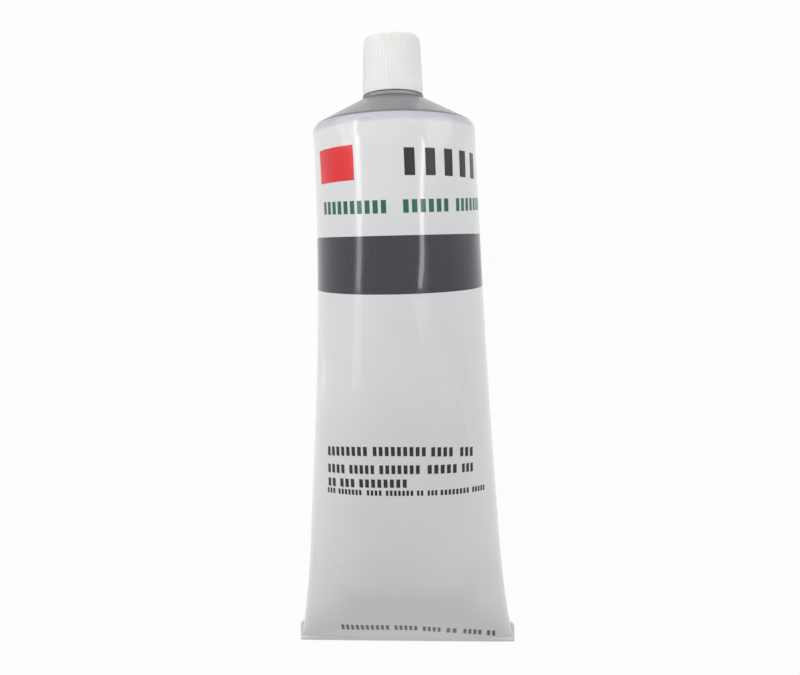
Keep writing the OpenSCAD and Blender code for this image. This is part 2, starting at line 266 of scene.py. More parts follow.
def ring_mesh(name, rings, heights, material_of=None, ends=True, loop=False):
    points = np.concatenate([lying(r) for r in rings])
    count, n = len(rings), len(rings[0])
    faces, kinds = [], []
    for j in range(count if loop else count - 1):
        near, far = j * n, (j + 1) % count * n
        kind = material_of(j) if material_of else 0
        for i in range(n):
            k = (i + 1) % n
            faces.append((near + i, near + k, far + k, far + i))
            kinds.append(kind)
    if ends and not loop:
        for start, flip in ((0, True), ((count - 1) * n, False)):
            kind = material_of(0 if flip else count - 2) if material_of else 0
            for i in range(n // 2):
                a, b, c, d = i, i + 1, (n - i - 1) % n, (n - i) % n
                quad = list(dict.fromkeys(start + q for q in (a, b, c, d)))
                if len(quad) > 2:
                    faces.append(tuple(quad[::-1] if flip else quad))
                    kinds.append(kind)
    mesh = bpy.data.meshes.new(name)
    mesh.from_pydata(points.tolist(), [], faces)
    mesh.polygons.foreach_set("material_index", kinds)
    place = []
    for poly in mesh.polygons:
        right_side = max(v % n for v in poly.vertices) <= n // 2
        for v in poly.vertices:
            shift = 0.5 if right_side or v % n < n // 2 else -0.5
            place += [SHARE[v % n] + shift, (heights[v // n] - SHEET_START) / SHEET_SPAN]
    mesh.uv_layers.new(name="sheet").data.foreach_set("uv", place)
    obj = bpy.data.objects.new(name, mesh)
    bpy.context.scene.collection.objects.link(obj)
    outward(obj)
    return obj


def outward(obj):
    """Turns every face of a closed mesh outwards, by the sign of its volume."""
    b = bmesh.new()
    b.from_mesh(obj.data)
    if b.calc_volume(signed=True) < 0:
        bmesh.ops.reverse_faces(b, faces=b.faces)
        b.to_mesh(obj.data)
    b.free()


def smooth_shaded(obj, degrees):
    """Smooth shading, with sharp edges where faces meet at more than this angle."""
    obj.data.polygons.foreach_set("use_smooth", [True] * len(obj.data.polygons))
    obj.data.set_sharp_from_angle(angle=math.radians(degrees))


def report(obj):
    b = bmesh.new()
    b.from_mesh(obj.data)
    open_edges = sum(1 for e in b.edges if len(e.link_faces) != 2)
    volume = b.calc_volume(signed=True) * 1e6
    triangles = sum(len(f.verts) - 2 for f in b.faces)
    print(f"{obj.name}: {triangles} triangles, {open_edges} open edges, {volume:.2f} ml")
    b.free()


# %% [markdown]
# The tube is one piece of extruded aluminium. The same foil runs on from the flattened wall into
# the fold: down round the first bend, along underneath, round the second bend and back. Inside,
# the sheet comes down from the neck again, so the tube is hollow and its mouth is open.

# %% Fold of the flattened end
def flat_ring(y, z, turn, n, narrower):
    """Doubled wall across the path: the path heads at turn degrees in the (y, z) plane of the row."""
    loop = loop_of(END_HALF - narrower, LAYER / 2, LAYER / 2, n)
    heading = math.radians(turn)
    across_y, across_z = -math.sin(heading), math.cos(heading)
    yy, zz = y + across_y * loop[:, 1], z + across_z * loop[:, 1]
    c, s = math.cos(LEAN), math.sin(LEAN)
    return np.stack([loop[:, 0], yy * c + zz * s, zz * c - yy * s], 1)


EAR_R = 1.6
fold_rings, fold_heights = [], []
small_r, large_r = LAYER_STEP / 2, LAYER_STEP
middle_z, low_z = SEAM_Z - LAYER_STEP, LAYER / 2
path = [(y, middle_z, 0) for y in np.linspace(LAYER_STEP, FOLD_H, 14)]
for a in np.linspace(90, -90, 9)[1:-1]:
    t = math.radians(a)
    path.append((FOLD_H + small_r * math.cos(t), (middle_z + low_z) / 2 + small_r * math.sin(t), a - 90))
path += [(y, low_z, -180) for y in np.linspace(FOLD_H, 0, 14)]
for a in np.linspace(-90, -270, 13)[1:-1]:
    t = math.radians(a)
    path.append((large_r * math.cos(t), middle_z + large_r * math.sin(t), a - 90))
path.append((0, SEAM_Z, -360))
travelled = [0]
for (y0, z0, _), (y1, z1, _) in zip(path, path[1:]):
    travelled.append(travelled[-1] + math.hypot(y1 - y0, z1 - z0))
for (y, z, turn), run in zip(path, travelled):
    left = travelled[-1] - run
    to_bend = max(0, 1 - (FOLD_H + small_r - y) / EAR_R)
    narrower = EAR_R * (1 - math.sqrt(max(0, 1 - to_bend ** 2)))
    fold_rings.append(flat_ring(y, z, turn, 2.5 + 5 * smooth(left / 3), narrower))
    fold_heights.append(-left * 0.6)
print("length of foil in the fold:", round(travelled[-1], 2), "mm")

# %% Skin of the tube
low_ws = [0.07 * i for i in range(1, 6)] + list(np.linspace(0.4, 6, 18))
low_ws += list(np.linspace(6.7, BAND_LOW, 140))
band_ws = list(np.linspace(BAND_LOW, BAND_HIGH, 16))
high_ws = list(np.linspace(BAND_HIGH, WALL_L, 32))
outside = dented([wall_ring(w, 0) for w in low_ws])
outside += dented([wall_ring(w, INK_T + INK_GAP) for w in band_ws])
outside += dented([wall_ring(w, 0) for w in high_ws])
corner_turns = np.linspace(0, math.pi / 2 - SLOPE, 9)[1:]
outside += [round_ring(WALL_L + CORNER_R * math.sin(t), TUBE_R - CORNER_R * (1 - math.cos(t)))
            for t in corner_turns]
LACQUER_ROWS = len(fold_rings) + len(outside) - 4
corner_end = TUBE_R - CORNER_R * (1 - math.sin(SLOPE))
turned = [(r, (TUBE_R - r) * math.tan(SLOPE)) for r in np.linspace(corner_end, COLLAR_R, 14)[1:]]
turned += [(COLLAR_R, CONE_Z + 0.25), (COLLAR_R, COLLAR_Z - 0.12), (COLLAR_R - 0.12, COLLAR_Z)]
turned += [(NECK_R + 0.25, COLLAR_Z), (NECK_R, COLLAR_Z + 0.25), (NECK_R, MOUTH_Z - 0.3)]
turned += [(NECK_R - 0.1, MOUTH_Z - 0.08), (NECK_R - 0.3, MOUTH_Z), (MOUTH_R + 0.2, MOUTH_Z)]
turned += [(MOUTH_R, MOUTH_Z - 0.2), (MOUTH_R, MOUTH_Z - LIP_T)]
under_z = CONE_Z - SHOULDER_T
under_drop = SHOULDER_T / math.cos(SLOPE)
turned += [(NECK_BORE_R, MOUTH_Z - LIP_T), (NECK_BORE_R, under_z)]
turned += [(TUBE_R - (under_z + under_drop) / math.tan(SLOPE), under_z)]
turned += [(TUBE_R - WALL, WALL * math.tan(SLOPE) - under_drop)]
neck_rings = [round_ring(TUBE_L + z, r) for r, z in turned]
inside_ws = SEAM_SOLID + (WALL_L - SEAM_SOLID) * np.linspace(1, 0, 60) ** 1.4
inside_ws = [w for w in inside_ws if w < TUBE_L + turned[-1][1] - 0.5]
inside = dented([wall_ring(w, WALL) for w in inside_ws])
skin_rings = fold_rings + outside + neck_rings + inside
skin_heights = fold_heights + [r[0, 1] for r in outside + neck_rings + inside]


def skin_finish(row):
    return 0 if row < LACQUER_ROWS else 1


tube_skin = ring_mesh("tube_skin", skin_rings, skin_heights, skin_finish)
smooth_shaded(tube_skin, 32)
report(tube_skin)

# %% [markdown]
# The dark band is printed ink, a sleeve that lies in its own shallow bed. The paste fills the
# tube up to the neck, and shows only when the cap is off.

# %% Band and paste
ink_outside = dented([wall_ring(w, 0) for w in band_ws])
ink_inside = dented([wall_ring(w, INK_T) for w in band_ws[::-1]])
ink_heights = [r[0, 1] for r in ink_outside + ink_inside]
band_sleeve = ring_mesh("band_sleeve", ink_outside + ink_inside, ink_heights, loop=True)
smooth_shaded(band_sleeve, 40)
report(band_sleeve)

FILL_GAP, FILL_DROP, FILL_START = 0.2, 1.5, 2
paste_ws = [w for w in inside_ws[::-1] if w > FILL_START]
paste = dented([wall_ring(w, WALL + FILL_GAP) for w in paste_ws])
paste_under = under_z - FILL_GAP
paste_drop = (SHOULDER_T + FILL_GAP) / math.cos(SLOPE)
paste_shape = [
    (TUBE_R - WALL - FILL_GAP, (WALL + FILL_GAP) * math.tan(SLOPE) - paste_drop),
    (TUBE_R - (paste_under + paste_drop) / math.tan(SLOPE), paste_under),
    (NECK_BORE_R - FILL_GAP, paste_under),
    (NECK_BORE_R - FILL_GAP, MOUTH_Z - LIP_T - FILL_DROP - 0.4),
    (NECK_BORE_R - FILL_GAP - 0.4, MOUTH_Z - LIP_T - FILL_DROP),
]
paste += [round_ring(TUBE_L + z, r) for r, z in paste_shape]
paste_fill = ring_mesh("paste_fill", paste, [r[0, 1] for r in paste])
smooth_shaded(paste_fill, 40)
report(paste_fill)

# %% [markdown]
# Geometry Nodes and materials are both trees of nodes. One small function adds a node, with its
# settings and with a value or a link for each input.

# %% Adding a node
def add(tree, kind, inputs=None, **settings):
    node = tree.nodes.new(kind)
    for name, value in settings.items():
        setattr(node, name, value)
    for key, value in (inputs or {}).items():
        socket = node.inputs[key]
        if isinstance(value, bpy.types.NodeSocket):
            tree.links.new(value, socket)
        else:
            socket.default_value = value
    return node


def geometry_tree(name, sizes):
    """A new tree with a geometry input and output, one named input for each size, and a finish."""
    tree = bpy.data.node_groups.new(name, "GeometryNodeTree")
    tree.interface.new_socket("Geometry", in_out="INPUT", socket_type="NodeSocketGeometry")
    for label, kind in sizes.items():
        tree.interface.new_socket(label, in_out="INPUT", socket_type=kind)
    tree.interface.new_socket("Finish", in_out="INPUT", socket_type="NodeSocketMaterial")
    tree.interface.new_socket("Geometry", in_out="OUTPUT", socket_type="NodeSocketGeometry")
    return tree, tree.nodes.new("NodeGroupInput").outputs


def end_tree(tree, geometry, finish):
    realized = add(tree, "GeometryNodeRealizeInstances", {"Geometry": geometry})
    finished = add(tree, "GeometryNodeSetMaterial", {"Geometry": realized.outputs[0], "Material": finish})
    add(tree, "NodeGroupOutput", {"Geometry": finished.outputs[0]})


def grown(name, base, tree, values):
    """Runs a tree on a mesh and returns the result as a plain mesh object, with no modifier."""
    carrier = bpy.data.objects.new(name + "_carrier", base)
    bpy.context.scene.collection.objects.link(carrier)
    modifier = carrier.modifiers.new(name, "NODES")
    modifier.node_group = tree
    for item in tree.interface.items_tree:
        if item.in_out == "INPUT" and item.name in values:
            modifier[item.identifier] = values[item.name]
    bpy.context.view_layer.update()
    evaluated = carrier.evaluated_get(bpy.context.evaluated_depsgraph_get())
    mesh = bpy.data.meshes.new_from_object(evaluated)
    mesh.name = name
    bpy.data.objects.remove(carrier)
    obj = bpy.data.objects.new(name, mesh)
    bpy.context.scene.collection.objects.link(obj)
    return obj


# %% [markdown]
# Colours are written as the screen shows them, and turned to linear light by one function.

# %% Colours
def linear(hexadecimal):
    parts = [int(hexadecimal[i:i + 2], 16) / 255 for i in (1, 3, 5)]
    return tuple(c / 12.92 if c <= 0.04045 else ((c + 0.055) / 1.055) ** 2.4 for c in parts) + (1,)


def new_material(name, **surface):
    """A material with one Principled shader, its plain values set on its own sockets."""
    material = bpy.data.materials.new(name)
    material.use_nodes = True
    shader = material.node_tree.nodes["Principled BSDF"]
    for label, value in surface.items():
        shader.inputs[label.replace("_", " ").title().replace("Ior", "IOR")].default_value = value
    return material, material.node_tree, shader


def object_place(tree):
    return add(tree, "ShaderNodeTexCoord").outputs["Object"]


def graded(tree, factor, low, high, from_low=0.35, from_high=0.65):
    """A colour that goes from low to high as factor does between two values."""
    ramp = add(tree, "ShaderNodeValToRGB", {"Fac": factor})
    for stop, place, colour in zip(ramp.color_ramp.elements, (from_low, from_high), (low, high)):
        stop.position, stop.color = place, linear(colour)
    return ramp.outputs["Color"]


def bumped(tree, shader, height, distance, strength):
    bump = add(tree, "ShaderNodeBump", {"Height": height, "Distance": distance, "Strength": strength})
    tree.links.new(bump.outputs["Normal"], shader.inputs["Normal"])


def varied(tree, shader, socket, factor, low, high):
    spread_node = add(tree, "ShaderNodeMapRange", {"Value": factor, "To Min": low, "To Max": high})
    tree.links.new(spread_node.outputs["Result"], shader.inputs[socket])


# %% [markdown]
# Roller-coated lacquer on soft aluminium is a satin white: a hard, thin film with a faint
# orange-peel about a millimetre across, and dull where it has been handled. Over the
# shoulder's corner the white goes to a darker bluish grey. The pigment lies under a clear film of
# nearly the same index, so nearly all of the reflection is the film's own.

# %% White lacquer
def tube_place(tree):
    """Place in the tube's own frame, with Y along its axis: the row frame turned back by the lean."""
    to_axis = add(tree, "ShaderNodeMapping", {"Vector": object_place(tree)}, vector_type="TEXTURE")
    to_axis.inputs["Location"].default_value = (0, -MID_Y * MM, 0)
    to_axis.inputs["Rotation"].default_value = (LEAN, 0, 0)
    return add(tree, "ShaderNodeSeparateXYZ", {"Vector": to_axis.outputs["Vector"]}).outputs


lacquer, tree, shader = new_material(
    "white roller-coated lacquer", roughness=0.32, specular_ior_level=0.1,
    coat_weight=0.8, coat_roughness=0.08)
place = object_place(tree)
# Over the shoulder's corner the white is mixed to a darker bluish grey
corner_share = add(tree, "ShaderNodeMapRange", {
    "Value": tube_place(tree)["Y"], "From Min": (WALL_L - 0.8) * MM, "From Max": (WALL_L + 1.2) * MM})
cloud = add(tree, "ShaderNodeTexNoise", {"Vector": place, "Scale": 22.0, "Detail": 4.0})
peel = add(tree, "ShaderNodeTexNoise", {"Vector": place, "Scale": 900.0, "Detail": 3.0})
white_film = graded(tree, cloud.outputs["Fac"], "#D6D6D8", "#DCDCDE")
film = add(tree, "ShaderNodeMix", {
    0: corner_share.outputs[0], 6: white_film, 7: linear("#ACACB6")}, data_type="RGBA")
tree.links.new(film.outputs[2], shader.inputs["Base Color"])
varied(tree, shader, "Roughness", peel.outputs["Fac"], 0.26, 0.40)
bumped(tree, shader, peel.outputs["Fac"], 0.00002, 0.25)

# %% [markdown]
# The band is a dark grey offset ink under the same varnish. Its surface is a little grainy, which
# breaks the lamps' reflections up into fine speckle.

# %% Dark grey ink
dark_ink, tree, shader = new_material(
    "dark grey offset ink", roughness=0.32, specular_ior_level=0.1, coat_weight=0.8, coat_roughness=0.08)
place = object_place(tree)
grain = add(tree, "ShaderNodeTexNoise", {"Vector": place, "Scale": 1500.0, "Detail": 4.0})
tree.links.new(graded(tree, grain.outputs["Fac"], "#2B2E33", "#34373D"), shader.inputs["Base Color"])
varied(tree, shader, "Roughness", grain.outputs["Fac"], 0.26, 0.46)
bumped(tree, shader, grain.outputs["Fac"], 0.00003, 0.4)

# %% Print inks
def print_ink(name, low, high):
    ink, tree, shader = new_material(
        name, roughness=0.36, specular_ior_level=0.2, coat_weight=0.5, coat_roughness=0.18)
    grain = add(tree, "ShaderNodeTexNoise", {"Vector": object_place(tree), "Scale": 1200.0, "Detail": 3.0})
    tree.links.new(graded(tree, grain.outputs["Fac"], low, high), shader.inputs["Base Color"])
    varied(tree, shader, "Roughness", grain.outputs["Fac"], 0.28, 0.46)
    return ink


red_ink = print_ink("warm red offset ink", "#D8121A", "#DE1B22")
black_ink = print_ink("black offset ink", "#0E0E10", "#161618")
green_ink = print_ink("deep green offset ink", "#155744", "#1C644F")

# %% [markdown]
# The shoulder and neck are left bare. Aluminium that has been turned on a spindle has fine
# rings round its axis, so the pattern is stretched round that axis: it is laid out in the
# tube's own frame. The collar and neck, which the spindle's tool left as it found them, are duller.

# %% Bare aluminium
bare_metal, tree, shader = new_material("bare turned aluminium", metallic=1.0, roughness=0.24)
split = tube_place(tree)
flat = add(tree, "ShaderNodeCombineXYZ", {"X": split["X"], "Z": split["Z"]})
from_axis = add(tree, "ShaderNodeVectorMath", {0: flat.outputs["Vector"]}, operation="LENGTH")
rings_at = add(tree, "ShaderNodeCombineXYZ", {"X": from_axis.outputs["Value"], "Y": split["Y"]})
lathe_lines = add(tree, "ShaderNodeTexNoise", {
    "Vector": rings_at.outputs["Vector"], "Scale": 2600.0, "Detail": 3.0})
blotch = add(tree, "ShaderNodeTexNoise", {"Vector": object_place(tree), "Scale": 260.0, "Detail": 3.0})
tree.links.new(graded(tree, blotch.outputs["Fac"], "#7A7A7E", "#848488"), shader.inputs["Base Color"])
satin = add(tree, "ShaderNodeMapRange", {"Value": lathe_lines.outputs["Fac"], "To Min": 0.18, "To Max": 0.30})
collar_y = TUBE_L + CONE_Z
duller = add(tree, "ShaderNodeMapRange", {
    "Value": split["Y"], "From Min": (collar_y - 0.6) * MM, "From Max": (collar_y + 0.1) * MM,
    "To Max": 0.3})
rough = add(tree, "ShaderNodeMath", {0: satin.outputs[0], 1: duller.outputs[0]}, operation="ADD")
tree.links.new(rough.outputs[0], shader.inputs["Roughness"])
bumped(tree, shader, lathe_lines.outputs["Fac"], 0.00003, 0.5)

# %% [markdown]
# The cap is injection-moulded polypropylene: a satin, slightly see-through white whose thin rim
# looks a little yellower, with the faint pebble that a spark-eroded mould leaves.

# %% Moulded polypropylene
cap_plastic, tree, shader = new_material(
    "moulded white polypropylene", roughness=0.38, ior=1.49, subsurface_weight=0.12,
    subsurface_scale=0.0015)
place = object_place(tree)
pebble = add(tree, "ShaderNodeTexNoise", {"Vector": place, "Scale": 1400.0, "Detail": 2.0})
cloud = add(tree, "ShaderNodeTexNoise", {"Vector": place, "Scale": 70.0, "Detail": 2.0})
tree.links.new(graded(tree, cloud.outputs["Fac"], "#E1E1DF", "#E8E8E6"), shader.inputs["Base Color"])
varied(tree, shader, "Roughness", pebble.outputs["Fac"], 0.32, 0.46)
bumped(tree, shader, pebble.outputs["Fac"], 0.00002, 0.3)

# %% Paste and liner
paste_green, tree, shader = new_material("green filler paste", roughness=0.55, ior=1.48)
place = object_place(tree)
lumps = add(tree, "ShaderNodeTexNoise", {"Vector": place, "Scale": 380.0, "Detail": 5.0})
tree.links.new(graded(tree, lumps.outputs["Fac"], "#5B8767", "#6B9877"), shader.inputs["Base Color"])
varied(tree, shader, "Roughness", lumps.outputs["Fac"], 0.42, 0.68)
bumped(tree, shader, lumps.outputs["Fac"], 0.0003, 0.5)

liner_foam, tree, shader = new_material("closed-cell foam liner", roughness=0.75, ior=1.45)
place = object_place(tree)
cells = add(tree, "ShaderNodeTexVoronoi", {"Vector": place, "Scale": 2200.0})
foam_white = graded(tree, cells.outputs["Distance"], "#DFDFDA", "#EDEDE9", 0.1, 0.7)
tree.links.new(foam_white, shader.inputs["Base Color"])
varied(tree, shader, "Roughness", cells.outputs["Distance"], 0.66, 0.84)
bumped(tree, shader, cells.outputs["Distance"], 0.0001, 0.4)
print("finishes for the tube, cap and print are ready")

for piece, finish in ((tube_skin, lacquer), (tube_skin, bare_metal), (band_sleeve, dark_ink),
                      (paste_fill, paste_green)):
    piece.data.materials.append(finish)

# %% [markdown]
# The cap starts as a plain turned cup: a profile swept round the axis. Its grip ribs repeat, so a
# Geometry Nodes tree raises them from the cup's side by a wave in the angle round the axis.

# %% Turned cup
CAP_R, CAP_TOP_R, CAP_EDGE_R, CAP_BORE_R = 9.4, 8.65, 1.2, 7.9
CAP_ROUND = 720


def turned_mesh(name, profile, columns):
    """Sweeps (radius, height) points round the Z axis. Points on the axis are single poles."""
    points, faces, rows = [], [], []
    for r, z in profile:
        if r < 1e-6:
            rows.append([len(points)] * columns)
            points.append((0, 0, z * MM))
        else:
            rows.append(list(range(len(points), len(points) + columns)))
            turns = [2 * math.pi * i / columns for i in range(columns)]
            points += [(r * MM * math.cos(t), r * MM * math.sin(t), z * MM) for t in turns]
    for low, high in zip(rows, rows[1:]):
        for i in range(columns):
            k = (i + 1) % columns
            quad = list(dict.fromkeys((low[i], low[k], high[k], high[i])))
            if len(quad) > 2:
                faces.append(tuple(quad))
    mesh = bpy.data.meshes.new(name)
    mesh.from_pydata(points, [], faces)
    return mesh


side_l = CAP_L - CAP_EDGE_R
ceiling = CAP_L - CAP_TOP_T
profile = [(0, ceiling), (CAP_BORE_R - 0.5, ceiling), (CAP_BORE_R, ceiling - 0.5)]
profile += [(CAP_BORE_R, 0.35), (CAP_BORE_R + 0.25, 0.06), (CAP_BORE_R + 0.45, 0)]
profile += [(CAP_R - 0.25, 0), (CAP_R - 0.06, 0.08)]
for z in [0.25, 0.6, 0.9] + list(np.linspace(1.0, side_l, 30)):
    profile.append((CAP_R + (CAP_TOP_R - CAP_R) * z / side_l, z))
for t in np.linspace(0, 90, 9)[1:]:
    a = math.radians(t)
    profile.append((CAP_TOP_R - CAP_EDGE_R + CAP_EDGE_R * math.cos(a), side_l + CAP_EDGE_R * math.sin(a)))
profile += [(5.0, CAP_L), (2.0, CAP_L), (0, CAP_L)]
plain_cup = turned_mesh("plain_cup", profile, CAP_ROUND)
print("plain cup:", len(plain_cup.polygons), "faces")

# %% Grip ribs
ribs, given = geometry_tree("grip ribs round a cap", {
    "Rib count": "NodeSocketInt", "Rib height": "NodeSocketFloat", "Lowest": "NodeSocketFloat",
    "Highest": "NodeSocketFloat", "Fade": "NodeSocketFloat", "Bore radius": "NodeSocketFloat"})
at = add(ribs, "ShaderNodeSeparateXYZ", {0: add(ribs, "GeometryNodeInputPosition").outputs[0]})
angle = add(ribs, "ShaderNodeMath", {0: at.outputs["Y"], 1: at.outputs["X"]}, operation="ARCTAN2")
wave = add(ribs, "ShaderNodeMath", {0: angle.outputs[0], 1: given["Rib count"]}, operation="MULTIPLY")
wave = add(ribs, "ShaderNodeMath", {0: wave.outputs[0]}, operation="COSINE")
crest = add(ribs, "ShaderNodeMapRange", {"Value": wave.outputs[0], "From Min": -0.45, "From Max": 0.85},
            interpolation_type="SMOOTHSTEP")
low_end = add(ribs, "ShaderNodeMath", {0: given["Lowest"], 1: given["Fade"]}, operation="ADD")
high_end = add(ribs, "ShaderNodeMath", {0: given["Highest"], 1: given["Fade"]}, operation="SUBTRACT")
rising = add(ribs, "ShaderNodeMapRange", {
    "Value": at.outputs["Z"], "From Min": given["Lowest"], "From Max": low_end.outputs[0]})
falling = add(ribs, "ShaderNodeMapRange", {
    "Value": at.outputs["Z"], "From Min": high_end.outputs[0], "From Max": given["Highest"],
    "To Min": 1.0, "To Max": 0.0})
height = given["Rib height"]
for part in (crest, rising, falling):
    height = add(ribs, "ShaderNodeMath", {0: height, 1: part.outputs[0]}, operation="MULTIPLY").outputs[0]
outward_x = add(ribs, "ShaderNodeCombineXYZ", {"X": at.outputs["X"], "Y": at.outputs["Y"]})
direction = add(ribs, "ShaderNodeVectorMath", {0: outward_x.outputs[0]}, operation="NORMALIZE")
radius = add(ribs, "ShaderNodeVectorMath", {0: outward_x.outputs[0]}, operation="LENGTH")
is_side = add(ribs, "ShaderNodeMath", {
    0: radius.outputs["Value"], 1: given["Bore radius"]}, operation="GREATER_THAN")
raised = add(ribs, "ShaderNodeVectorMath", {0: direction.outputs[0], "Scale": height}, operation="SCALE")
moved = add(ribs, "GeometryNodeSetPosition", {
    "Geometry": given["Geometry"], "Selection": is_side.outputs[0], "Offset": raised.outputs[0]})
end_tree(ribs, moved.outputs[0], given["Finish"])

screw_cap = grown("screw_cap", plain_cup, ribs, {
    "Rib count": 60, "Rib height": 0.09 * MM, "Lowest": 1.1 * MM, "Highest": (CAP_L - 1.3) * MM,
    "Fade": 0.7 * MM, "Bore radius": (CAP_BORE_R + 0.3) * MM, "Finish": cap_plastic})


def onto_axis(obj, z):
    """Puts a piece made round the Z axis onto the tube's axis, z millimetres past the shoulder."""
    points = np.array([v.co for v in obj.data.vertices]) / MM
    place_of = lying(np.stack([points[:, 0], TUBE_L + z + points[:, 2], -points[:, 1]], 1))
    obj.data.vertices.foreach_set("co", place_of.ravel())
    obj.data.update()
    outward(obj)


onto_axis(screw_cap, CAP_BASE_Z)
smooth_shaded(screw_cap, 50)
report(screw_cap)

# %% [markdown]
# A screw thread is one small section that follows a helix, so Geometry Nodes sweep it along a
# spiral. The section is wider at its root than at its crest, and it sinks into its wall at both
# ends of the spiral, as a moulded or rolled thread does.

# %% Screw threads
PITCH, THREAD_H, THREAD_ROOT, THREAD_CREST, THREAD_EMBED = 3.0, 0.75, 1.5, 0.7, 0.3
NECK_TURNS, CAP_TURNS, NECK_THREAD_Z, CAP_THREAD_Z = 3.5, 2.5, 11.4831, 13.4198

threads, given = geometry_tree("thread swept along a spiral", {
    "Turns": "NodeSocketFloat", "Pitch": "NodeSocketFloat", "Wall radius": "NodeSocketFloat",
    "Root width": "NodeSocketFloat", "Crest width": "NodeSocketFloat", "Thread height": "NodeSocketFloat",
    "Embed": "NodeSocketFloat", "Side": "NodeSocketFloat", "Fade share": "NodeSocketFloat"})
rise = add(threads, "ShaderNodeMath", {0: given["Turns"], 1: given["Pitch"]}, operation="MULTIPLY")
spiral = add(threads, "GeometryNodeCurveSpiral", {
    "Resolution": 64, "Rotations": given["Turns"], "Start Radius": given["Wall radius"],
    "End Radius": given["Wall radius"], "Height": rise.outputs[0]})
upright = add(threads, "GeometryNodeSetCurveNormal", {"Curve": spiral.outputs[0]}, mode="Z_UP")
share = add(threads, "GeometryNodeSplineParameter").outputs["Factor"]
to_end = add(threads, "ShaderNodeMath", {0: 1.0, 1: share}, operation="SUBTRACT")
nearer = add(threads, "ShaderNodeMath", {0: share, 1: to_end.outputs[0]}, operation="MINIMUM")
fading = add(threads, "ShaderNodeMapRange", {
    "Value": nearer.outputs[0], "From Max": given["Fade share"], "To Min": 0.02})
whole_h = add(threads, "ShaderNodeMath", {0: given["Thread height"], 1: given["Embed"]}, operation="ADD")
section = add(threads, "GeometryNodeCurvePrimitiveQuadrilateral", {
    "Height": whole_h.outputs[0], "Bottom Width": given["Root width"], "Top Width": given["Crest width"],
    "Offset": 0.0}, mode="TRAPEZOID")
half_h = add(threads, "ShaderNodeMath", {0: given["Thread height"], 1: given["Embed"]}, operation="SUBTRACT")
middle = add(threads, "ShaderNodeMath", {0: half_h.outputs[0], 1: 0.5}, operation="MULTIPLY")
lift = add(threads, "ShaderNodeCombineXYZ", {"Y": middle.outputs[0]})
placed = add(threads, "GeometryNodeTransform", {"Geometry": section.outputs[0], "Translation": lift.outputs[0]})
quarter_turn = add(threads, "ShaderNodeMath", {0: given["Side"], 1: math.pi / 2}, operation="MULTIPLY")
spin = add(threads, "ShaderNodeCombineXYZ", {"Z": quarter_turn.outputs[0]})
faced = add(threads, "GeometryNodeTransform", {"Geometry": placed.outputs[0], "Rotation": spin.outputs[0]})
swept = add(threads, "GeometryNodeCurveToMesh", {
    "Curve": upright.outputs[0], "Profile Curve": faced.outputs[0], "Fill Caps": True,
    "Scale": fading.outputs[0]})
end_tree(threads, swept.outputs[0], given["Finish"])


def thread_piece(name, turns, wall_r, side, z, finish):
    piece = grown(name, bpy.data.meshes.new(name + "_seed"), threads, {
        "Turns": turns, "Pitch": PITCH * MM, "Wall radius": wall_r * MM, "Root width": THREAD_ROOT * MM,
        "Crest width": THREAD_CREST * MM, "Thread height": THREAD_H * MM, "Embed": THREAD_EMBED * MM,
        "Side": side, "Fade share": 1 / (6 * turns), "Finish": finish})
    co = np.array([v.co for v in piece.data.vertices]) / MM
    r = np.hypot(co[:, 0], co[:, 1])
    print(name, "radii", round(float(r.min()), 3), "to", round(float(r.max()), 3), "heights",
          round(float(co[:, 2].min()), 3), "to", round(float(co[:, 2].max()), 3))
    onto_axis(piece, z)
    smooth_shaded(piece, 30)
    report(piece)
    return piece


neck_thread = thread_piece("neck_thread", NECK_TURNS, NECK_R, 1.0, NECK_THREAD_Z, bare_metal)
cap_thread = thread_piece("cap_thread", CAP_TURNS, CAP_BORE_R, -1.0, CAP_THREAD_Z, cap_plastic)

# %% [markdown]
# The print is a generic stand-in: plain blocks, with no letters and no mark. Each block starts as
# a thin slab on the flat sheet, and a Geometry Nodes tree wraps it onto the bent one: every point
# looks up its place and its normal on the sheet by the sheet's own UV map.

# %% Flat layout of the print
INK_H = 0.045
ABOVE, BELOW = INK_H, -0.02


def row_blocks(words, up, height, bow_up=0.0, slope=0.0, letter=0.0):
    """Words as (from, to) round the sheet, split into plain letter-sized blocks."""
    blocks = []
    for start, end in words:
        count = max(1, round((end - start) / letter)) if letter else 1
        step = (end - start) / count
        for i in range(count):
            s = start + (i + 0.5) * step
            wide = step * (0.62 if letter else 1.0)
            blocks.append((s, up + slope * s + bow_up * (s / 25) ** 2, wide, height))
    return blocks


red_blocks = row_blocks([(-26.0, -11.0)], 167.0, 9.6)
number_blocks = [(s, 166.6, 3.0, 7.4) for s in (5.1, 11.2, 17.3, 23.4, 29.5)]
green_blocks = row_blocks([(-25.2, -1.4), (2.4, 17.2), (19.4, 36.0)], 154.6, 3.6, 0.6, 0.0, 2.5)
small_blocks = row_blocks([(-25.6, -9.8), (-8.6, 8.2), (9.2, 16.9), (18.9, 24.8)],
                          82.9, 3.0, -3.1, -0.012, 1.9)
small_blocks += row_blocks([(-25.6, -17.9), (-16.7, -7.7), (-6.7, 6.3), (8.0, 18.3), (19.6, 24.7)],
                           76.9, 2.9, -2.6, 0.0, 1.9)
small_blocks += row_blocks([(-25.6, -21.6), (-20.4, -14.4), (-13.4, 2.3)], 72.2, 2.8, -2.6, 0.0, 1.9)
small_blocks += row_blocks([(-25.9, -22.0), (-21.1, -12.2), (-10.9, -5.7), (-4.8, 4.1), (4.8, 7.2), (8.1, 11.6),
                            (12.2, 22.7), (23.7, 30.0)], 68.9, 1.8, -2.2, 0.0, 1.25)
small_blocks += row_blocks([(-24.0, -5.6), (-4.3, 4.6), (6.0, 13.1), (14.5, 19.0), (20.8, 28.2), (29.6, 33.4)],
                           10.3, 3.2, -2.2, -0.052, 1.9)
print(len(red_blocks) + len(number_blocks) + len(green_blocks) + len(small_blocks), "blocks of print")


